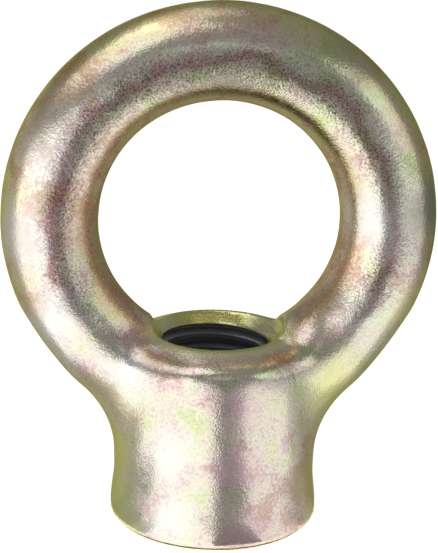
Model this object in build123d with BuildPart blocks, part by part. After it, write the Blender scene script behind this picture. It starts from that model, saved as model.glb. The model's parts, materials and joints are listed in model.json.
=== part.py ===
# %% [markdown]
# # Lifting eye nut, M20
#
# One steel forging: a round-bar ring that grows out of a threaded barrel.
# The thread axis is Z, the ring lies in the XZ plane, and the origin is the
# centre of the flat base face. All lengths are in millimetres.

# %%
import os
from math import asin, pi, sqrt, tan

from build123d import *

# %% [markdown]
# ## Driving dimensions

# %%
ring_bore = 40.0            # clear diameter inside the ring
bar_diameter = 16.0         # round section of the ring
ring_height = 52.0          # ring centre above the base face

waist_diameter = 34.0       # barrel between the foot and the ring
foot_diameter = 35.2        # slightly wider foot of the barrel
foot_height = 2.6           # straight part of the foot
foot_blend = 6.4            # height over which the foot narrows to the waist
base_chamfer = 1.2          # outer edge of the base face

saddle_radius = 35.0        # hollow of the barrel's top, seen along Y
top_rise = 0.9              # bottom of the saddle above the lowest point of the ring's bore
shoulder_radius = 5.0       # rounding from the barrel's side to the saddle
neck_radius = 16.0          # blend between the ring and the barrel

thread_diameter = 20.0      # nominal size of the metric thread
thread_pitch = 2.5
mouth_diameter = 22.4       # clearance above the thread, cut into the ring
mouth_sink = 0.55           # lower edge of that clearance above the saddle's bottom
entry_diameter = 21.6       # wide end of the thread's chamfer at the base

# %% [markdown]
# ## Sizes that follow

# %%
bar_radius = bar_diameter / 2
ring_radius = ring_bore / 2 + bar_radius
waist_radius = waist_diameter / 2
foot_radius = foot_diameter / 2
top_height = ring_height - ring_bore / 2 + top_rise
bore_radius = thread_diameter / 2 - 0.5413 * thread_pitch
mouth_radius = mouth_diameter / 2
mouth_height = top_height + mouth_sink
entry_radius = entry_diameter / 2

# The neck's blend ends above the foot and stays well inside the ring's bore.
outer_radius = ring_radius + bar_radius
crease_height = ring_height - sqrt(outer_radius**2 - waist_radius**2)
crease_angle = pi / 2 - asin(waist_radius / outer_radius)
foot_limit = (crease_height - foot_height - foot_blend) / tan(crease_angle / 2)
bore_limit = 0.4 * ring_bore
neck_blend = min(neck_radius, foot_limit, bore_limit)

# %% [markdown]
# ## Ring and barrel
#
# The barrel is turned about Z, with a chamfered foot that narrows gently to a
# straight waist. Its top is hollowed like a saddle, which lets it run up into
# both sides of the ring, and the saddle's rim is rounded to a soft shoulder.
# The ring is a torus about its own centre. The crease where it grows out of
# the barrel is blended with a large fillet.

# %%
ring_axis = Axis((0, 0, ring_height), (0, 1, 0))

with BuildPart() as eye_nut:
    with BuildSketch(Plane.YZ):
        with BuildLine():
            foot = Polyline(
                (0, 0),
                (foot_radius - base_chamfer, 0),
                (foot_radius, base_chamfer),
                (foot_radius, foot_height),
            )
            blend = Spline(
                foot @ 1,
                (waist_radius, foot_height + foot_blend),
                tangents=((0, 1), (0, 1)),
            )
            Polyline(blend @ 1, (waist_radius, ring_height), (0, ring_height), (0, 0))
        make_face()
    revolve(axis=Axis.Z)

    with BuildSketch(Plane.XZ):
        with Locations((0, top_height + saddle_radius)):
            Circle(saddle_radius)
    extrude(amount=foot_diameter, both=True, mode=Mode.SUBTRACT)
    saddle = eye_nut.faces().filter_by(GeomType.CYLINDER).sort_by(SortBy.RADIUS)[-1]
    fillet(saddle.edges(), shoulder_radius)

    with BuildSketch(Plane.ZY):
        with Locations((ring_height + ring_radius, 0)):
            Circle(bar_radius)
    revolve(axis=ring_axis)
    crease = eye_nut.edges(Select.NEW)
    fillet(crease, neck_blend)

# %% [markdown]
# ## Threaded hole
#
# The hole is bored to the thread's minor diameter, right through into the
# ring, with a chamfer at both ends. Above the upper chamfer a clearance of
# the same width is cut out of the ring's inner side.

# %%
    with BuildSketch(Plane.YZ):
        with BuildLine():
            Polyline(
                (0, 0),
                (entry_radius, 0),
                (bore_radius, entry_radius - bore_radius),
                (bore_radius, mouth_height - (mouth_radius - bore_radius)),
                (mouth_radius, mouth_height),
                (mouth_radius, ring_height),
                (0, ring_height),
                close=True,
            )
        make_face()
    revolve(axis=Axis.Z, mode=Mode.SUBTRACT)

# %% [markdown]
# ## Export

# %%
os.makedirs("parts", exist_ok=True)
eye_nut.part.label = "eye_nut"
export_step(eye_nut.part, "parts/eye_nut.step")
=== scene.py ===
# %% [markdown]
# # Lifting eye nut in Blender
#
# This notebook dresses a forged lifting eye nut: a round-bar ring that grows
# out of a threaded barrel. The solid comes from CAD at its real size. Blender
# adds what CAD leaves out: the cut thread, the low dome on the barrel, the soft
# unevenness of a forging, and the yellow zinc plating with its patches of pink,
# olive and straw.

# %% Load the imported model
import json
import math

import bpy
from mathutils import Matrix, Vector


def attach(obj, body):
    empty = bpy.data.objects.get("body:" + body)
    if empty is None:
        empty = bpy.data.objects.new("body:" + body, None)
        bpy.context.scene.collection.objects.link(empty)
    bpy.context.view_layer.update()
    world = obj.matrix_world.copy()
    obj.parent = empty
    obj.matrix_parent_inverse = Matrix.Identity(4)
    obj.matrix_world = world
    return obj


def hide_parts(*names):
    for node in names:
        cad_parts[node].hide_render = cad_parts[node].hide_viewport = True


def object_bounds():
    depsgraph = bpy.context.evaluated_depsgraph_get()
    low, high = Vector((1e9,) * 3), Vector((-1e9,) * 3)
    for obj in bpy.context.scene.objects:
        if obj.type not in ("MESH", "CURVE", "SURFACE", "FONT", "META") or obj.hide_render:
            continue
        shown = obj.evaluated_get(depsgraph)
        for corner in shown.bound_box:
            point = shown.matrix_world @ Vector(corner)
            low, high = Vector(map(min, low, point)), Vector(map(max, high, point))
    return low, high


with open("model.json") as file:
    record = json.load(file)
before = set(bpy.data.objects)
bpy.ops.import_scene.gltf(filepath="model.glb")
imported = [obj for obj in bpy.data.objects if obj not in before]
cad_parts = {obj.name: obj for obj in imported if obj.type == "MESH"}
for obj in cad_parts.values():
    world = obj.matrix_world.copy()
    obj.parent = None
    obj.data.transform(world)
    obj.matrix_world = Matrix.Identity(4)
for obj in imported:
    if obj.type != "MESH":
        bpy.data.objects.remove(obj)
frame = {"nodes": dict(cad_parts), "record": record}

cad_low, cad_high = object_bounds()
print("CAD box in metres:", [round(v, 5) for v in (*cad_low, *cad_high)])

# %% [markdown]
# ## Units and a few helpers
#
# Everything in the scene is in metres, but a nut is thought of in
# millimetres. One name for a millimetre keeps the numbers readable. Blender's
# operators act on whatever is selected, so each step first clears the
# selection and then picks the object it works on.

# %% Units and selection helpers
MM = 0.001


def pick(obj):
    """Makes obj the only selected and active object."""
    bpy.ops.object.select_all(action="DESELECT")
    obj.select_set(True)
    bpy.context.view_layer.objects.active = obj


def apply_all_modifiers(obj):
    """Applies the modifiers of obj from top to bottom."""
    pick(obj)
    for modifier in list(obj.modifiers):
        bpy.ops.object.modifier_apply(modifier=modifier.name)


# %% [markdown]
# ## The thread's sizes
#
# The hole carries a metric M20 thread with a pitch of 2.5 mm. A metric thread
# is a 60 degree V with its tip cut flat, and its sizes follow from the
# diameter and the pitch. The CAD bore stands at the minor diameter, which is
# the crest of a nut's thread, so only the groove has to be cut.

# %% Thread sizes
THREAD_MAJOR_RADIUS = 10.0 * MM
THREAD_PITCH = 2.5 * MM
DEPTH_PER_PITCH = 0.5413
THREAD_DEPTH = DEPTH_PER_PITCH * THREAD_PITCH
THREAD_MINOR_RADIUS = THREAD_MAJOR_RADIUS - THREAD_DEPTH
THREAD_ROOT_FLAT = THREAD_PITCH / 8

thread_mount = next(m for m in frame["record"]["mounts"] if m["name"] == "thread")
thread_middle = thread_mount["pos_m"][2]
thread_length = thread_mount["dims"]["length_mm"] * MM
thread_top = thread_middle + thread_length / 2
thread_bottom = thread_middle - thread_length / 2
print("thread wall runs over", round(thread_length / MM, 2), "mm")

# %% [markdown]
# ## A copy of the solid
#
# The CAD mesh is a heap of loose triangles. A copy is merged into one closed
# shell, which can then be worked on. The CAD piece itself is left as it is:
# this copy will stand for it.

# %% Copy the solid
MERGE_DISTANCE = 0.001 * MM

nut = bpy.data.objects.new("forged_eye_nut", frame["nodes"]["eye_nut"].data.copy())
bpy.context.collection.objects.link(nut)
pick(nut)
bpy.ops.mesh.customdata_custom_splitnormals_clear()
bpy.ops.object.mode_set(mode="EDIT")
bpy.ops.mesh.select_all(action="SELECT")
bpy.ops.mesh.remove_doubles(threshold=MERGE_DISTANCE)
bpy.ops.object.mode_set(mode="OBJECT")
print("copy has", len(nut.data.vertices), "points after merging")

# %% [markdown]
# ## The top of the barrel
#
# CAD hollows the barrel's top like a saddle and runs it into the ring with one
# wide blend. On the real forging the top is a low dome with a firm edge, and
# the ring's round bar comes down on it almost clean. So the copy is trimmed
# along the dome, and two shells are set into what is left: a collar, which
# fills the edge out, and a whole ring of round bar. They overlap for now. The
# Remesh modifier of the next step makes one skin round all three.
#
# A trimming tool is a turned shape, and Spin makes it as a lathe does: an
# outline of edges is swept once round the axis. The grey cards of the studio
# are spun in the same way, so the sweep is a helper of its own.

# %% Helpers that spin a shape and cut with it
LATHE_STEPS = 144


def spun(name, corners, angle, steps, closed):
    """A surface swept about Z from an outline of edges through the corners."""
    bpy.ops.mesh.primitive_plane_add(size=1 * MM, location=(0, 0, 0))
    surface = bpy.context.object
    surface.name = name
    bpy.ops.object.mode_set(mode="EDIT")
    bpy.ops.mesh.select_all(action="SELECT")
    bpy.ops.mesh.delete(type="VERT")
    bpy.ops.object.mode_set(mode="OBJECT")
    count = len(corners)
    edge_count = count if closed else count - 1
    edges = [(i, (i + 1) % count) for i in range(edge_count)]
    surface.data.from_pydata(corners, edges, [])
    bpy.ops.object.mode_set(mode="EDIT")
    bpy.ops.mesh.select_all(action="SELECT")
    bpy.ops.mesh.spin(steps=steps, angle=angle, center=(0, 0, 0), axis=(0, 0, 1))
    bpy.ops.object.mode_set(mode="OBJECT")
    return surface


def turned(name, profile):
    """A closed solid turned about Z from pairs of radius and height."""
    corners = [(radius, 0, height) for radius, height in profile]
    solid = spun(name, corners, math.tau, LATHE_STEPS, closed=True)
    bpy.ops.object.mode_set(mode="EDIT")
    bpy.ops.mesh.select_all(action="SELECT")
    bpy.ops.mesh.remove_doubles(threshold=MERGE_DISTANCE)
    bpy.ops.mesh.normals_make_consistent(inside=False)
    bpy.ops.object.mode_set(mode="OBJECT")
    return solid


def cut(obj, cutter):
    """Takes cutter out of obj and throws cutter away."""
    trim = obj.modifiers.new("cut", "BOOLEAN")
    trim.operation = "DIFFERENCE"
    trim.solver = "EXACT"
    trim.object = cutter
    apply_all_modifiers(obj)
    bpy.data.objects.remove(cutter)


# %% Trim the copy along the dome
RING_RADIUS = 28 * MM
BAR_RADIUS = 8 * MM
RING_MIDDLE = cad_high.z - (RING_RADIUS + BAR_RADIUS)
WAIST_RADIUS = 17 * MM
DOME_RADIUS = 46 * MM
DOME_TOP = 34.2 * MM
DOME_STEPS = 12
LEDGE_SLOPE = 0.25
FAR_OUT = 60 * MM
FAR_UP = 120 * MM


def dome(radius):
    """Height of the dome at that distance from the hole's axis."""
    return DOME_TOP - DOME_RADIUS + math.sqrt(DOME_RADIUS**2 - radius**2)


dome_radii = [WAIST_RADIUS * i / DOME_STEPS for i in range(DOME_STEPS + 1)]
dome_line = [(radius, dome(radius)) for radius in dome_radii]
ledge_end = dome(WAIST_RADIUS) - LEDGE_SLOPE * (FAR_OUT - WAIST_RADIUS)
above_the_dome = turned("above_the_dome", [
    *dome_line,
    (FAR_OUT, ledge_end),
    (FAR_OUT, FAR_UP),
    (0, FAR_UP),
])
cut(nut, above_the_dome)
print("trimmed copy has", len(nut.data.polygons), "faces")

# %% Fill the dome's edge out
COLLAR_INSIDE = 12.5 * MM
COLLAR_BOTTOM = 20 * MM

collar_line = [corner for corner in dome_line if corner[0] > COLLAR_INSIDE]
collar = turned("collar", [
    (COLLAR_INSIDE, dome(COLLAR_INSIDE)),
    *collar_line,
    (WAIST_RADIUS, COLLAR_BOTTOM),
    (COLLAR_INSIDE, COLLAR_BOTTOM),
])
print("collar's edge is at", round(dome(WAIST_RADIUS) / MM, 2), "mm")

# %% Set the ring in and clear the hole
RING_SEGMENTS = 176
BAR_SEGMENTS = 72
MOUTH_RADIUS = 11.2 * MM
CLEARING_BOTTOM = 10 * MM

bpy.ops.mesh.primitive_torus_add(
    major_radius=RING_RADIUS,
    minor_radius=BAR_RADIUS,
    major_segments=RING_SEGMENTS,
    minor_segments=BAR_SEGMENTS,
    location=(0, 0, RING_MIDDLE),
    rotation=(math.pi / 2, 0, 0),
)
ring = bpy.context.object
ring.name = "ring"
bpy.ops.object.transform_apply(location=True, rotation=True, scale=True)

chamfer_height = MOUTH_RADIUS - THREAD_MINOR_RADIUS
hole_in_ring = turned("hole_in_ring", [
    (0, CLEARING_BOTTOM),
    (THREAD_MINOR_RADIUS, CLEARING_BOTTOM),
    (THREAD_MINOR_RADIUS, thread_top),
    (MOUTH_RADIUS, thread_top + chamfer_height),
    (MOUTH_RADIUS, RING_MIDDLE),
    (0, RING_MIDDLE),
])
cut(ring, hole_in_ring)
print("ring has", len(ring.data.polygons), "faces")

# %% [markdown]
# ## An even skin for the forging
#
# The shells are made of long thin faces, which are fine for a shape but poor
# for fine relief and for smooth reflections. They are joined, and the Remesh
# modifier rebuilds them as one skin of small even squares.

# %% Rebuild the skin
SKIN_CELL = 0.45 * MM

bpy.ops.object.select_all(action="DESELECT")
for shell in (collar, ring, nut):
    shell.select_set(True)
bpy.context.view_layer.objects.active = nut
bpy.ops.object.join()

remesh = nut.modifiers.new("even_cells", "REMESH")
remesh.mode = "VOXEL"
remesh.voxel_size = SKIN_CELL
remesh.use_smooth_shade = True
apply_all_modifiers(nut)
print("skin has", len(nut.data.polygons), "faces")

# %% [markdown]
# ## Soft where it was forged, crisp where it was cut
#
# A hammer die leaves rounded, flowing surfaces. The base face, the hole and
# the clearance above it were machined afterwards, so their edges are crisp. A
# vertex group names the forged part of the skin, and the Smooth modifier
# softens only that. More groups will follow, so painting one and smoothing it
# are two helpers.

# %% Smooth the forged surfaces
CUT_BASE_HEIGHT = 1.6 * MM
CUT_MOUTH_RADIUS = 11.6 * MM
FORGED_ROUNDS = 12


def paint(name, weight_at):
    """Gives the nut a vertex group with weight_at(place) as its weights."""
    group = nut.vertex_groups.new(name=name)
    for vertex in nut.data.vertices:
        weight = weight_at(vertex.co)
        if weight > 0:
            group.add([vertex.index], weight, "REPLACE")


def smooth(group_name, rounds):
    """Adds a Smooth modifier that works on one vertex group."""
    softener = nut.modifiers.new(group_name, "SMOOTH")
    softener.factor = 0.5
    softener.iterations = rounds
    softener.vertex_group = group_name


def forged_weight(point):
    """1 on the hammered skin, 0 near the base face and the hole."""
    if point.z > cad_high.z / 2:
        return 1.0
    in_the_mouth = math.hypot(point.x, point.y) < CUT_MOUTH_RADIUS
    return 0.0 if in_the_mouth or point.z <= CUT_BASE_HEIGHT else 1.0


paint("forged_skin", forged_weight)
smooth("forged_skin", FORGED_ROUNDS)
apply_all_modifiers(nut)
print("smoothed the forged skin in", FORGED_ROUNDS, "rounds")

# %% [markdown]
# The dome's edge and the corner between the dome and the bar are rounder than
# the rest, because steel never fills a die's corner. A second Smooth works on
# a band round that height, and fades out towards the hole and up the bar.

# %% Round the dome's edge and the ring's foot
EDGE_MIDDLE = 31.0 * MM
EDGE_FULL = 3.0 * MM
EDGE_NONE = 7.0 * MM
EDGE_OUTSIDE = 14.0 * MM
EDGE_INSIDE = 11.8 * MM
EDGE_ROUNDS = 130


def fade(value, full, none):
    """Goes smoothly from 1 at full to 0 at none."""
    share = min(max((value - none) / (full - none), 0), 1)
    return share * share * (3 - 2 * share)


def edge_weight(point):
    """How much a point belongs to the band along the dome's edge."""
    band = fade(abs(point.z - EDGE_MIDDLE), EDGE_FULL, EDGE_NONE)
    return band * fade(math.hypot(point.x, point.y), EDGE_OUTSIDE, EDGE_INSIDE)


paint("edge_band", edge_weight)
smooth("edge_band", EDGE_ROUNDS)

# %% [markdown]
# In the four corners where the bar, the dome and the barrel's side meet, the
# steel has flowed further still, most of all in front. Each corner is a soft
# ball. The four balls mirror one another, so a point is first folded into one
# quarter of the nut.

# %% Run the bar into the dome's corners
CORNER = Vector((13.5, 9.5, 31.0)) * MM
CORNER_FULL = 4.0 * MM
CORNER_NONE = 10.5 * MM
CORNER_OUTSIDE = 13.6 * MM
CORNER_INSIDE = 11.6 * MM
CORNER_ROUNDS = 300
BACK_SHARE = 0.35


def corner_weight(point):
    """How much a point belongs to one of the four corners."""
    folded = Vector((abs(point.x), abs(point.y), point.z))
    ball = fade((folded - CORNER).length, CORNER_FULL, CORNER_NONE)
    ball *= fade(math.hypot(folded.x, folded.y), CORNER_OUTSIDE, CORNER_INSIDE)
    return ball * BACK_SHARE if point.y > 0 else ball


paint("corner_skin", corner_weight)
smooth("corner_skin", CORNER_ROUNDS)
apply_all_modifiers(nut)
print("rounded the dome's edge and its four corners")

# %% [markdown]
# ## Fuller necks
#
# Hot steel does not quite follow the die where the ring runs into the barrel,
# and the trimming leaves the outside of each neck a little fuller than the
# drawing, more on one side than on the other. A Displace modifier with no
# texture moves points straight along their normals. A vertex group says how
# far, with a weight that is full in the neck and fades out all round it.

# %% Fill out the two necks
NECK_MIDDLE_X = 24 * MM
NECK_MIDDLE_Z = 20 * MM
NECK_REACH = 14 * MM
NECK_FADE_FROM = 4 * MM
NECK_FADE_TO = 12 * MM
NECK_FILL_LEFT = 0.50 * MM
NECK_FILL_RIGHT = 0.78 * MM


def fill_weight(point):
    """How much of the fuller neck's filling a point gets, from 0 to 1."""
    distance = math.hypot(abs(point.x) - NECK_MIDDLE_X, point.z - NECK_MIDDLE_Z)
    if distance > NECK_REACH:
        return 0.0
    round_neck = math.cos(math.pi / 2 * distance / NECK_REACH) ** 2
    flank = fade(abs(point.y), NECK_FADE_FROM, NECK_FADE_TO)
    filling = NECK_FILL_LEFT if point.x < 0 else NECK_FILL_RIGHT
    return round_neck * flank * filling / NECK_FILL_RIGHT


paint("neck_skin", fill_weight)
fuller = nut.modifiers.new("fuller_necks", "DISPLACE")
fuller.vertex_group = "neck_skin"
fuller.strength = NECK_FILL_RIGHT
fuller.mid_level = 0.0
apply_all_modifiers(nut)
print("necks filled by up to", round(NECK_FILL_RIGHT / MM, 2), "mm")

# %% [markdown]
# ## The hammered surface
#
# A forged bar is never quite round. Scale and the hammer leave shallow swells
# a few millimetres wide, too low to see in the outline but plain in every
# reflection. A second Displace modifier adds them from a soft cloud texture,
# on the forged skin alone.

# %% Add the forging's gentle swells
SWELL_SIZE = 7 * MM
SWELL_HEIGHT = 0.10 * MM

swells = bpy.data.textures.new("forging_swells", "CLOUDS")
swells.noise_scale = SWELL_SIZE
swells.noise_depth = 1
hammered = nut.modifiers.new("hammered_surface", "DISPLACE")
hammered.texture = swells
hammered.texture_coords = "LOCAL"
hammered.vertex_group = "forged_skin"
hammered.strength = SWELL_HEIGHT
hammered.mid_level = 0.5
apply_all_modifiers(nut)
print("swells are", round(SWELL_HEIGHT / MM, 2), "mm high")

# %% [markdown]
# ## Cutting the thread
#
# A thread is a groove that climbs one pitch with each turn. The cutter is
# made the way a tap works: a V profile stands at the wall of the hole, the
# Screw modifier carries it up the axis, and a Boolean takes its path out of
# the forging. It starts below the base and ends above the clearance, so the
# thread runs out at both ends as a tapped one does.

# %% Draw the groove's profile
OVERCUT = 0.3 * MM
HALF_ANGLE = math.radians(30)
TURNS_BELOW = 2

profile_depth = THREAD_DEPTH + OVERCUT
profile_middle = THREAD_MAJOR_RADIUS - profile_depth / 2
profile_mouth = THREAD_ROOT_FLAT + 2 * profile_depth * math.tan(HALF_ANGLE)
groove_start = thread_bottom - TURNS_BELOW * THREAD_PITCH

bpy.ops.mesh.primitive_plane_add(
    size=profile_depth,
    location=(profile_middle, 0, groove_start),
    rotation=(math.pi / 2, 0, 0),
)
tap = bpy.context.object
tap.name = "thread_tap"
bpy.ops.object.transform_apply(location=True, rotation=True, scale=True)
for vertex in tap.data.vertices:
    at_root = vertex.co.x > profile_middle
    width = THREAD_ROOT_FLAT if at_root else profile_mouth
    side = 1 if vertex.co.z > groove_start else -1
    vertex.co.z = groove_start + side * width / 2
print("groove is", round(profile_mouth / MM, 2), "mm wide at its mouth")

# %% Carry the profile up the hole
TURNS_ADDED = 4
STEPS_PER_TURN = 96

pick(tap)
bpy.ops.object.mode_set(mode="EDIT")
bpy.ops.mesh.select_all(action="SELECT")
bpy.ops.mesh.delete(type="ONLY_FACE")
bpy.ops.object.mode_set(mode="OBJECT")

screw = tap.modifiers.new("climb", "SCREW")
screw.axis = "Z"
screw.screw_offset = THREAD_PITCH
screw.iterations = round(thread_length / THREAD_PITCH) + TURNS_ADDED
screw.steps = STEPS_PER_TURN
screw.render_steps = STEPS_PER_TURN
apply_all_modifiers(tap)

bpy.ops.object.mode_set(mode="EDIT")
bpy.ops.mesh.select_all(action="SELECT")
bpy.ops.mesh.fill_holes(sides=0)
bpy.ops.mesh.select_all(action="SELECT")
bpy.ops.mesh.normals_make_consistent(inside=False)
bpy.ops.object.mode_set(mode="OBJECT")
print("tap has", len(tap.data.polygons), "faces")

# %% [markdown]
# The Boolean works on the skin after it was rebuilt, so the groove keeps its
# sharp edges. The exact solver is slower than the fast one, and it leaves no
# hole where the groove runs out in the two chamfers.

# %% Cut the groove
SHARP_ANGLE = math.radians(35)

cut(nut, tap)
bpy.ops.object.shade_smooth_by_angle(angle=SHARP_ANGLE)
nut.data.update()
print("threaded nut has", sum(len(p.vertices) - 2 for p in nut.data.polygons), "triangles")

# %% Let the dressed nut stand for the CAD one
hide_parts("eye_nut")
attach(nut, "root")

# %% [markdown]
# ## Yellow zinc plating
# Part of that base colour is painted light. Pale flanks, white patches and a pale rim
# stand in for highlights, and a darker crown, a dark thread and a grey patch stand in for
# shade.
#
# The forging is zinc plated and then dipped in a yellow chromate. The chromate
# is a film thinner than a wavelength of light, so it shows oil-slick colours:
# straw, rose, mauve, sage and olive, which drift as the film's thickness does.
# Under the film the zinc is a bright metal. So this is one metallic shader,
# and only its base colour, its roughness and its fine relief vary.
#
# Every pattern is read from Object coordinates, which are fixed to the steel.
# A handful of small functions do the wiring. Each adds a few nodes and hands
# back an output, so that a pattern reads like a formula.

# %% Start a material
def new_material(name):
    """Starts a material; the wiring functions add their nodes to the newest one."""
    global nodes, links
    material = bpy.data.materials.new(name)
    material.use_nodes = True
    nodes = material.node_tree.nodes
    links = material.node_tree.links
    return material


plating = new_material("yellow_zinc_plating")
shader = nodes["Principled BSDF"]


# %% Wire numbers
def feed(socket, value):
    """Wires value into a socket if it is an output, or else sets it there."""
    if isinstance(value, bpy.types.NodeSocket):
        links.new(value, socket)
    else:
        socket.default_value = value


def maths(operation, first, second=0.0):
    """One Math node; returns its output."""
    node = nodes.new("ShaderNodeMath")
    node.operation = operation
    feed(node.inputs[0], first)
    feed(node.inputs[1], second)
    return node.outputs[0]


def product(first, *others):
    """Multiplies any number of values."""
    for other in others:
        first = maths("MULTIPLY", first, other)
    return first


def long_side(first, second):
    """The long side of a right triangle, from its two short ones."""
    squares = maths("ADD", maths("POWER", first, 2), maths("POWER", second, 2))
    return maths("SQRT", squares)


def steps(value, start, end, low=0.0, high=1.0):
    """Goes smoothly from low to high as value goes from start to end."""
    node = nodes.new("ShaderNodeMapRange")
    node.interpolation_type = "SMOOTHSTEP"
    feed(node.inputs["Value"], value)
    node.inputs["From Min"].default_value = start
    node.inputs["From Max"].default_value = end
    node.inputs["To Min"].default_value = low
    node.inputs["To Max"].default_value = high
    return node.outputs["Result"]


# %% Wire clouds and colours
def cloud(place, size, detail=2.0):
    """A noise whose lumps are about size wide; returns its value, about 0.5."""
    node = nodes.new("ShaderNodeTexNoise")
    feed(node.inputs["Vector"], place)
    node.inputs["Scale"].default_value = 1 / size
    node.inputs["Detail"].default_value = detail
    return node.outputs["Fac"]


def swing(value, strength):
    """How far a cloud is from its middle, times strength."""
    return product(maths("SUBTRACT", value, 0.5), strength)


def tint(factor, first, second, blend="MIX"):
    """Mixes two colours; returns the mixed colour."""
    node = nodes.new("ShaderNodeMix")
    node.data_type = "RGBA"
    node.blend_type = blend
    feed(node.inputs["Factor"], factor)
    feed(node.inputs["A"], first)
    feed(node.inputs["B"], second)
    return node.outputs["Result"]


def ramp(value, stops):
    """A colour ramp through stops, each a position and a colour."""
    node = nodes.new("ShaderNodeValToRGB")
    node.color_ramp.interpolation = "EASE"
    feed(node.inputs["Fac"], value)
    elements = node.color_ramp.elements
    while len(elements) < len(stops):
        elements.new(0.5)
    for element, (position, colour) in zip(elements, stops):
        element.position = position
        element.color = (*colour, 1)
    return node.outputs["Color"]


# %% [markdown]
# ## Places on the nut
#
# The colour follows the shape. The film is thicker in the bore of the ring and in the
# corners that drain last. The flanks of the bar are pale and its crown is a darker mauve.
# This is partly the film's own tints and partly painted highlight and painted shade, laid
# where the round bar's reflections are bright and dark. Two simple measures give the
# place: how far a point is across the bar, from the ring's bore to its outside, and how
# high it is. A little noise is added to the coordinates first, so that no border is a
# clean line. The machined hole is measured from the coordinates as they are, because its
# borders are clean.

# %% Let the coordinates wander
WANDER_SIZE = 5 * MM
WANDER_REACH = 3 * MM

coordinates = nodes.new("ShaderNodeTexCoord").outputs["Object"]
wander = nodes.new("ShaderNodeTexNoise")
feed(wander.inputs["Vector"], coordinates)
wander.inputs["Scale"].default_value = 1 / WANDER_SIZE
wander.inputs["Detail"].default_value = 3.0
stray = nodes.new("ShaderNodeVectorMath")
stray.operation = "MULTIPLY_ADD"
feed(stray.inputs[0], wander.outputs["Color"])
stray.inputs[1].default_value = Vector((1, 1, 1)) * (2 * WANDER_REACH)
stray.inputs[2].default_value = Vector((-1, -1, -1)) * WANDER_REACH
shifted = nodes.new("ShaderNodeVectorMath")
shifted.operation = "ADD"
feed(shifted.inputs[0], coordinates)
feed(shifted.inputs[1], stray.outputs[0])
place = shifted.outputs[0]

# %% Measure the place
wandering = nodes.new("ShaderNodeSeparateXYZ")
feed(wandering.inputs[0], place)
above_middle = maths("SUBTRACT", wandering.outputs["Z"], RING_MIDDLE)
from_centre = long_side(wandering.outputs["X"], above_middle)
across = maths("DIVIDE", maths("SUBTRACT", from_centre, RING_RADIUS), 2 * BAR_RADIUS)
across = maths("ADD", across, 0.5)

exact = nodes.new("ShaderNodeSeparateXYZ")
feed(exact.inputs[0], coordinates)
height = exact.outputs["Z"]
off_axis = long_side(exact.outputs["X"], exact.outputs["Y"])
print("the place takes", len(nodes), "nodes so far")

# %% [markdown]
# ## The film's colours
#
# One ramp runs across the bar, from the gold of the bore over pale flanks and a mauve
# crown to the olive of the outer rim. The pale flanks are partly painted highlight and the
# darker mauve crown is partly painted shade, laid where the round bar's reflections are
# bright and dark. The barrel has its own plain straw colour. A second ramp is a row of
# interference tints. Three sizes of cloud drive it: drifts of 18 mm, patches of 4 mm and a
# speckle of half a millimetre.

# %% Colours across the bar
BORE_GOLD = (0.82, 0.67, 0.45)
# The pale flanks are partly painted highlight, and the darker mauve crown between them is
# partly painted shade.
PALE_STRAW_PAINTED_HIGHLIGHT = (0.92, 0.86, 0.68)
CROWN_MAUVE_PAINTED_SHADE = (0.70, 0.49, 0.46)
PALE_SAGE_PAINTED_HIGHLIGHT = (0.90, 0.88, 0.74)
RIM_TAN = (0.86, 0.77, 0.52)
RIM_OLIVE = (0.82, 0.78, 0.44)
BARREL_STRAW = (0.89, 0.82, 0.70)
BARREL_TO_RING = (32 * MM, 40 * MM)

ring_colour = ramp(across, (
    (0.00, BORE_GOLD),
    (0.14, BORE_GOLD),
    (0.27, PALE_STRAW_PAINTED_HIGHLIGHT),
    (0.38, PALE_STRAW_PAINTED_HIGHLIGHT),
    (0.49, CROWN_MAUVE_PAINTED_SHADE),
    (0.60, PALE_SAGE_PAINTED_HIGHLIGHT),
    (0.68, PALE_SAGE_PAINTED_HIGHLIGHT),
    (0.86, RIM_TAN),
    (1.00, RIM_OLIVE),
))
on_ring = steps(wandering.outputs["Z"], *BARREL_TO_RING)
base = tint(on_ring, (*BARREL_STRAW, 1), ring_colour)

# %% The film's drifting tint
DRIFT_SIZE = 18 * MM
PATCH_SIZE = 4 * MM
SPECKLE_SIZE = 0.5 * MM
DRIFT_STRENGTH = 2.0
PATCH_STRENGTH = 2.0
SPECKLE_STRENGTH = 1.3
THIN_GREEN = (0.80, 0.96, 0.66)
THIN_YELLOW = (0.98, 1.00, 0.90)
CLEAR = (1.00, 1.00, 1.00)
FAINT_PINK = (0.98, 0.92, 0.95)
THICK_PINK = (0.92, 0.72, 0.84)
THICK_BROWN = (0.80, 0.66, 0.56)

drift = swing(cloud(coordinates, DRIFT_SIZE), DRIFT_STRENGTH)
patch = swing(cloud(place, PATCH_SIZE), PATCH_STRENGTH)
speckle = swing(cloud(coordinates, SPECKLE_SIZE, 1), SPECKLE_STRENGTH)
film = maths("ADD", maths("ADD", maths("ADD", drift, patch), speckle), 0.5)
film_tint = ramp(film, (
    (0.00, THIN_GREEN),
    (0.22, THIN_YELLOW),
    (0.42, CLEAR),
    (0.60, FAINT_PINK),
    (0.80, THICK_PINK),
    (1.00, THICK_BROWN),
))
base = tint(1.0, base, film_tint, "MULTIPLY")
print("the film's colours take", len(nodes), "nodes so far")

# %% [markdown]
# The blasted steel keeps a fine dark grit under the plating. It is a cloud of a third of a
# millimetre that darkens the colour. It darkens a little everywhere as the steel's grit,
# and much more along the crown of the bar as painted shade, which deepens the dark band
# there.

# %% Dark grit, and painted shade along the crown
GRIT_SIZE = 0.33 * MM
GRIT_BAND = (0.32, 0.56)
GRIT_DARKEST = 0.24
CROWN_ACROSS = 0.45
CROWN_BAND = (0.25, 0.08)
PAINTED_SHADE_GRIT_ALONG_CROWN = 0.60
GRIT_EVERYWHERE = 0.22

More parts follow.
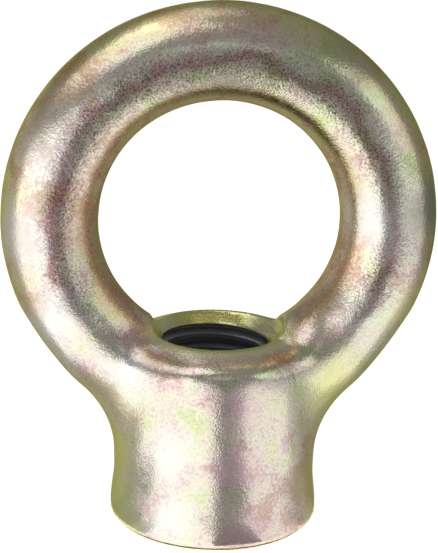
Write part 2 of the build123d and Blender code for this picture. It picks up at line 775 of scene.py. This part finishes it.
grit = steps(cloud(coordinates, GRIT_SIZE, 1), *GRIT_BAND, GRIT_DARKEST, 1.0)
off_crown = maths("ABSOLUTE", maths("SUBTRACT", across, CROWN_ACROSS))
crown = product(steps(off_crown, *CROWN_BAND), on_ring)
grit_and_painted_shade = maths("ADD", product(crown, PAINTED_SHADE_GRIT_ALONG_CROWN), GRIT_EVERYWHERE)
base = tint(grit_and_painted_shade, base, grit, "MULTIPLY")

# %% [markdown]
# ## Patches laid one by one
#
# Some patches are too large and too well placed for noise. The white ones are pale zinc
# made paler as painted highlights, on the flanks and the barrel where the metal catches
# the lamps. The steel grey one is painted shade on the ring's right outer edge. Each is a
# soft ball of colour: a Distance from its middle, faded out at its reach. The wandering
# coordinates give it a ragged border.

# %% Lay the patches
OLIVE = (0.84, 0.86, 0.40)
ROSE = (0.86, 0.62, 0.66)
WHITE_ZINC_PAINTED_HIGHLIGHT = (0.95, 0.95, 0.92)
LEMON = (0.90, 0.88, 0.40)
TAN = (0.80, 0.70, 0.44)
PAINTED_SHADE_GREY = (0.42, 0.42, 0.42)
DEEP_OLIVE = (0.48, 0.50, 0.32)

# Each patch has a middle and a reach in millimetres, a colour and a strength.
PATCHES = (
    ((-16.5, -6.0, 4.0), 9.0, OLIVE, 0.85),
    ((-16.5, -5.0, 14.0), 8.5, LEMON, 0.90),
    ((-21.0, -5.0, 22.0), 7.0, OLIVE, 0.55),
    ((-14.5, -9.5, 23.0), 6.5, LEMON, 0.50),
    # White patches: pale zinc, made paler as painted highlights on the barrel's front left
    # and the left neck.
    ((-8.5, -15.5, 5.0), 7.5, WHITE_ZINC_PAINTED_HIGHLIGHT, 0.75),
    ((-8.5, -15.5, 16.0), 8.0, WHITE_ZINC_PAINTED_HIGHLIGHT, 0.75),
    ((-16.0, -11.0, 27.0), 8.0, WHITE_ZINC_PAINTED_HIGHLIGHT, 0.80),
    ((2.0, -17.0, 25.0), 6.0, ROSE, 0.85),
    ((2.5, -17.0, 14.0), 6.5, ROSE, 0.85),
    ((4.0, -17.0, 3.0), 6.0, ROSE, 0.75),
    ((18.5, -5.5, 24.5), 10.0, LEMON, 1.0),
    # A painted shade: steel grey on the ring's right outer edge.
    ((34.0, -3.0, 56.0), 9.0, PAINTED_SHADE_GREY, 1.0),
    ((20.0, -4.0, 80.0), 9.0, DEEP_OLIVE, 0.70),
    ((31.0, -6.0, 38.0), 7.0, LEMON, 0.50),
    ((16.0, -7.0, 8.0), 8.5, TAN, 0.80),
    # White patches: pale zinc, made paler as painted highlights on the flanks of the ring.
    ((-33.0, -5.5, 50.0), 9.0, WHITE_ZINC_PAINTED_HIGHLIGHT, 0.70),
    ((-29.0, -6.5, 66.0), 9.0, WHITE_ZINC_PAINTED_HIGHLIGHT, 0.45),
    ((-27.0, -7.0, 36.0), 9.0, WHITE_ZINC_PAINTED_HIGHLIGHT, 0.75),
    ((24.5, -7.0, 54.0), 9.0, WHITE_ZINC_PAINTED_HIGHLIGHT, 0.75),
    ((23.0, -7.0, 38.0), 7.0, WHITE_ZINC_PAINTED_HIGHLIGHT, 0.45),
)
for middle, reach, colour, strength in PATCHES:
    away = nodes.new("ShaderNodeVectorMath")
    away.operation = "DISTANCE"
    feed(away.inputs[0], place)
    away.inputs[1].default_value = Vector(middle) * MM
    amount = steps(away.outputs["Value"], 0, reach * MM, strength, 0.0)
    base = tint(amount, base, (*colour, 1))
print("laid", len(PATCHES), "patches")

# %% [markdown]
# ## Inside the hole
#
# Tapping oil and a starved film leave the thread dull, and its colour is darkened as
# painted shade, since little light gets into the deep hole. The chamfer above it drains
# last, so it is the greenest place on the nut. The rim round it is a paler olive, made
# pale partly as a painted highlight. All three are found by their distance from the hole's
# axis and by their height. Each is the product of a few fades, and each fade has a pair of
# places: where the finish begins and where it is full.

# %% The rim and the chamfer
LIP_OLIVE_PAINTED_HIGHLIGHT = (0.97, 0.96, 0.58)
RIM_ACROSS = (13.8 * MM, 12.0 * MM)
RIM_FROM_ABOVE = (37 * MM, 34 * MM)
RIM_FROM_BELOW = (31.8 * MM, 32.3 * MM)
RIM_STRENGTH = 0.85

CHAMFER_GREEN = (0.66, 0.70, 0.28)
CHAMFER_ACROSS = (11.9 * MM, 11.2 * MM)
CHAMFER_FROM_ABOVE = (thread_top + 4 * MM, thread_top + 3 * MM)
CHAMFER_FROM_BELOW = (0.1 * MM, 0.6 * MM)
CHAMFER_FROM_THE_SIDE = (8.8 * MM, 6.4 * MM)
CHAMFER_AT_THE_SIDE = 0.35
CHAMFER_STRENGTH = 0.85

top_rim = product(
    steps(off_axis, *RIM_ACROSS),
    steps(height, *RIM_FROM_ABOVE),
    steps(height, *RIM_FROM_BELOW),
)
# The rim's pale olive is the film's tint, made paler as a painted highlight.
base = tint(product(top_rim, RIM_STRENGTH), base, (*LIP_OLIVE_PAINTED_HIGHLIGHT, 1))

sideways = maths("ABSOLUTE", exact.outputs["X"])
chamfer = product(
    steps(off_axis, *CHAMFER_ACROSS),
    steps(height, *CHAMFER_FROM_ABOVE),
    steps(height, *CHAMFER_FROM_BELOW),
    steps(sideways, *CHAMFER_FROM_THE_SIDE, CHAMFER_AT_THE_SIDE, 1.0),
)
base = tint(product(chamfer, CHAMFER_STRENGTH), base, (*CHAMFER_GREEN, 1))

# %% The thread, darkened as painted shade
THREAD_PAINTED_SHADE = (0.40, 0.40, 0.46)
THREAD_ACROSS = (10.35 * MM, 10.05 * MM)
THREAD_FROM_ABOVE = (thread_top + 0.35 * MM, thread_top - 0.15 * MM)

in_thread = product(steps(off_axis, *THREAD_ACROSS), steps(height, *THREAD_FROM_ABOVE))
base = tint(in_thread, base, (*THREAD_PAINTED_SHADE, 1))
feed(shader.inputs["Base Color"], base)

# %% [markdown]
# ## Gloss and fine relief
#
# The plating is bright but not polished. Its roughness drifts with the film,
# and it is dull in the thread. Pits a third of a millimetre wide and broader
# dimples break up the reflections, as the blasted steel underneath does. They
# are far too fine for the mesh, so two Bump nodes give them, one on the other.
# At a grazing angle the yellow film adds an olive cast, which the metal's
# Specular Tint gives.

# %% Gloss, tint and pits
GLOSS_THIN_FILM = 0.19
GLOSS_THICK_FILM = 0.31
THREAD_ROUGHNESS = 0.45
GRAZING_OLIVE = (0.85, 0.85, 0.35)
PIT_SIZE = 0.34 * MM
PIT_DEPTH = 0.036 * MM
DIMPLE_SIZE = 1.6 * MM
DIMPLE_DEPTH = 0.045 * MM


def relief(bumps, depth):
    """One Bump node of that depth; returns the node."""
    node = nodes.new("ShaderNodeBump")
    node.inputs["Strength"].default_value = 1.0
    node.inputs["Distance"].default_value = depth
    feed(node.inputs["Height"], bumps)
    return node


shader.inputs["Metallic"].default_value = 1.0
shader.inputs["Specular Tint"].default_value = (*GRAZING_OLIVE, 1)
gloss = steps(film, 0.0, 1.0, GLOSS_THIN_FILM, GLOSS_THICK_FILM)
roughness = nodes.new("ShaderNodeMix")
feed(roughness.inputs["Factor"], in_thread)
feed(roughness.inputs["A"], gloss)
roughness.inputs["B"].default_value = THREAD_ROUGHNESS
feed(shader.inputs["Roughness"], roughness.outputs["Result"])

pits = relief(cloud(coordinates, PIT_SIZE, 1), PIT_DEPTH)
dimples = relief(cloud(coordinates, DIMPLE_SIZE), DIMPLE_DEPTH)
feed(dimples.inputs["Normal"], pits.outputs["Normal"])
feed(shader.inputs["Normal"], dimples.outputs["Normal"])

nut.data.materials.clear()
nut.data.materials.append(plating)
print("plating uses", len(nodes), "nodes")

# %% [markdown]
# ## Camera
#
# A long lens from a short way off shows a small metal part with little
# distortion. The camera stands slightly to the left and looks down into the
# mouth of the hole, with a touch of roll. Azimuth is counted from straight
# ahead, positive to the right, and elevation from the floor.

# %% Set the camera up
VIEW_AZIMUTH = -5.0
VIEW_ELEVATION = 16.45
VIEW_ROLL = 1.53
VIEW_DISTANCE = 294 * MM
VIEW_LENS = 115
AIM = Vector((0.11, 0, 42.17)) * MM


def direction(azimuth, elevation):
    """The unit vector from the nut towards that azimuth and elevation, in degrees."""
    turn = math.radians(azimuth)
    rise = math.radians(elevation)
    flat = math.cos(rise)
    return Vector((math.sin(turn) * flat, -math.cos(turn) * flat, math.sin(rise)))


towards_camera = direction(VIEW_AZIMUTH, VIEW_ELEVATION)
bpy.ops.object.camera_add(location=AIM + towards_camera * VIEW_DISTANCE)
camera = bpy.context.object
camera.name = "camera"
facing = (-towards_camera).to_track_quat("-Z", "Y").to_matrix()
rolled = facing @ Matrix.Rotation(math.radians(VIEW_ROLL), 3, "Z")
camera.rotation_euler = rolled.to_euler()
camera.data.lens = VIEW_LENS
camera.data.clip_start = 1 * MM
bpy.context.scene.camera = camera
print("camera stands at", [round(v / MM) for v in camera.location], "mm")

# %% [markdown]
# ## Light for a shiny metal
#
# Metal shows little of its own brightness. It shows what stands around it, so
# the light is laid out as a metalware studio does it. A long low panel and a
# high panel stand on the left, a dimmer one stands on the right, a small one
# hangs high behind, and a weak strip stands over the camera. Between them the
# grey room gives the broad dark bands that make a round bar look round.
#
# A lamp's brightness is set as radiance, where 1 is a white card in full
# light, so the numbers can be compared with the finishes they light.

# %% Hang the lamps
LAMP_DISTANCE = 600 * MM

# Each lamp: name, azimuth and elevation in degrees, width and height in
# metres, radiance.
LAMPS = (
    ("left_low_softbox", -59, 6, 0.76, 0.18, 1.02),
    ("left_high_softbox", -67, 59, 0.54, 0.50, 0.90),
    ("right_softbox", 69, 22, 0.50, 0.32, 0.60),
    ("rear_softbox", -142, 70, 0.38, 0.34, 0.60),
    ("front_softbox", 2, 25, 0.30, 0.10, 0.36),
)


def softbox(name, azimuth, elevation, width, height, radiance):
    """A flat rectangular lamp that faces the nut."""
    stand = AIM + LAMP_DISTANCE * direction(azimuth, elevation)
    bpy.ops.object.light_add(type="AREA", location=stand)
    lamp = bpy.context.object
    lamp.name = name
    lamp.data.shape = "RECTANGLE"
    lamp.data.size = width
    lamp.data.size_y = height
    lamp.data.energy = radiance * math.pi * width * height
    lamp.rotation_euler = (AIM - stand).to_track_quat("-Z", "Y").to_euler()


for lamp_row in LAMPS:
    softbox(*lamp_row)
print("hung", len(LAMPS), "lamps")

# %% Paint the room grey
ROOM_GREY = 0.23

world = bpy.data.worlds.new("studio")
bpy.context.scene.world = world
world.use_nodes = True
room = world.node_tree.nodes["Background"]
room.inputs["Color"].default_value = (1, 1, 1, 1)
room.inputs["Strength"].default_value = ROOM_GREY

# %% [markdown]
# ## A white floor that keeps the shadow
#
# The floor is plain pale card, and it runs far out, so that it fills the
# picture. The lamps alone would leave it grey. It glows a little for rays from
# the camera and for rays off or through the object, which turns it white and
# lights nothing else. Light Path tells those rays apart. The rest of its
# brightness comes from the lamps, so the nut's shadow still falls on it.

# %% Floor
FLOOR_SIZE = 120
FLOOR_PALE = 0.85
FLOOR_GLOW = 0.78

bpy.ops.mesh.primitive_plane_add(size=FLOOR_SIZE, location=(0, 0, 0))
floor = bpy.context.object
floor.name = "floor"
pale = new_material("pale_floor")
floor_coat = nodes["Principled BSDF"]
floor_coat.inputs["Base Color"].default_value = (FLOOR_PALE, FLOOR_PALE, FLOOR_PALE, 1)
floor_coat.inputs["Roughness"].default_value = 1.0
floor_coat.inputs["Specular IOR Level"].default_value = 0.0
floor_coat.inputs["Emission Color"].default_value = (1, 1, 1, 1)

rays = nodes.new("ShaderNodeLightPath").outputs
seen = maths("MAXIMUM", rays["Is Camera Ray"], rays["Is Glossy Ray"])
seen = maths("MAXIMUM", seen, rays["Is Transmission Ray"])
feed(floor_coat.inputs["Emission Strength"], product(seen, FLOOR_GLOW))
floor.data.materials.append(pale)
print("floor is", FLOOR_SIZE, "metres wide")

# %% [markdown]
# ## Grey cards
#
# A white floor all round would wash the metal out from below. So grey cards
# lie on it, seen only in the metal. Each is a sector of a ring about the nut,
# spun from one short line, and some rise as a low wall at their far edge.
# Darker cards in front give the barrel its dark stripe. Paler ones on the right stand for
# a bounce card there. The dim cards close round the foot and the nearly black disc under
# the nut are painted shadow. They stand for the nut's own shadow on the floor, which the
# floor's glow takes away in the metal's reflections.

# %% Lay the grey cards
CARD_LIFT = 0.4 * MM
CARD_STEPS = 24

# Each card: name, first and last azimuth in degrees, near edge, far edge and
# top of its wall in millimetres, brightness.
CARDS = (
    ("front_near_card", -4, 27, 18.5, 45, 0, 0.24),
    ("front_middle_card", -3, 13, 45, 130, 0, 0.26),
    ("front_right_card", 13, 24, 45, 130, 0, 0.42),
    ("front_far_card", -12, 27, 130, 550, 0, 0.23),
    ("front_wall_card", -11, 33, 550, 560, 900, 0.22),
    # Dim card close round the right of the foot: painted shadow of the nut on the floor.
    ("right_near_painted_shadow_card", 60, 92, 18.5, 40, 0, 0.45),
    ("right_floor_card", 27, 60, 18.5, 45, 0, 0.92),
    ("right_middle_card", 24, 76, 45, 130, 0, 1.0),
    ("right_side_card", 76, 92, 40, 130, 0, 0.50),
    ("right_far_card", 27, 86, 130, 300, 0, 0.66),
    ("right_edge_card", 27, 86, 300, 560, 0, 0.42),
    # Dim cards close round the left of the foot: painted shadow of the nut on the floor.
    ("left_near_card", -97, -62, 18.5, 46, 0, 0.36),
    ("left_painted_shadow_card", -62, -48, 18.5, 27, 0, 0.50),
    ("rear_left_card", -180, -85, 46, 550, 200, 0.42),
    ("rear_left_near_card", -180, -97, 18.5, 46, 0, 0.42),
    ("rear_right_card", 92, 180, 19, 130, 0, 0.33),
    ("rear_right_wall", 86, 180, 130, 560, 450, 0.22),
    # Nearly black disc under the nut: painted shadow where the nut stands.
    ("underside_painted_shadow_card", 0, 360, 0, 17, 0, 0.02),
)


def grey_card(name, azimuth_from, azimuth_to, near, far, top, brightness):
    """A card on the floor with a low wall at its far edge."""
    outwards = direction(azimuth_from, 0)
    corners = [
        outwards * near * MM + Vector((0, 0, CARD_LIFT)),
        outwards * far * MM + Vector((0, 0, CARD_LIFT)),
        outwards * far * MM + Vector((0, 0, top * MM)),
    ]
    turn = math.radians(azimuth_to - azimuth_from)
    card = spun(name, corners, -turn, CARD_STEPS, closed=False)

    card.data.materials.append(new_material(name))
    nodes.clear()
    glow = nodes.new("ShaderNodeEmission")
    glow.inputs["Strength"].default_value = brightness
    card_face = nodes.new("ShaderNodeOutputMaterial")
    feed(card_face.inputs["Surface"], glow.outputs["Emission"])

    card.visible_camera = False
    card.visible_diffuse = False
    card.visible_shadow = False


for card_row in CARDS:
    grey_card(*card_row)
print("laid", len(CARDS), "cards")

# %% [markdown]
# ## Colour
#
# The Standard view shows a colour as it is set, with no film look over it.

# %% Colour
bpy.context.scene.view_settings.view_transform = "Standard"
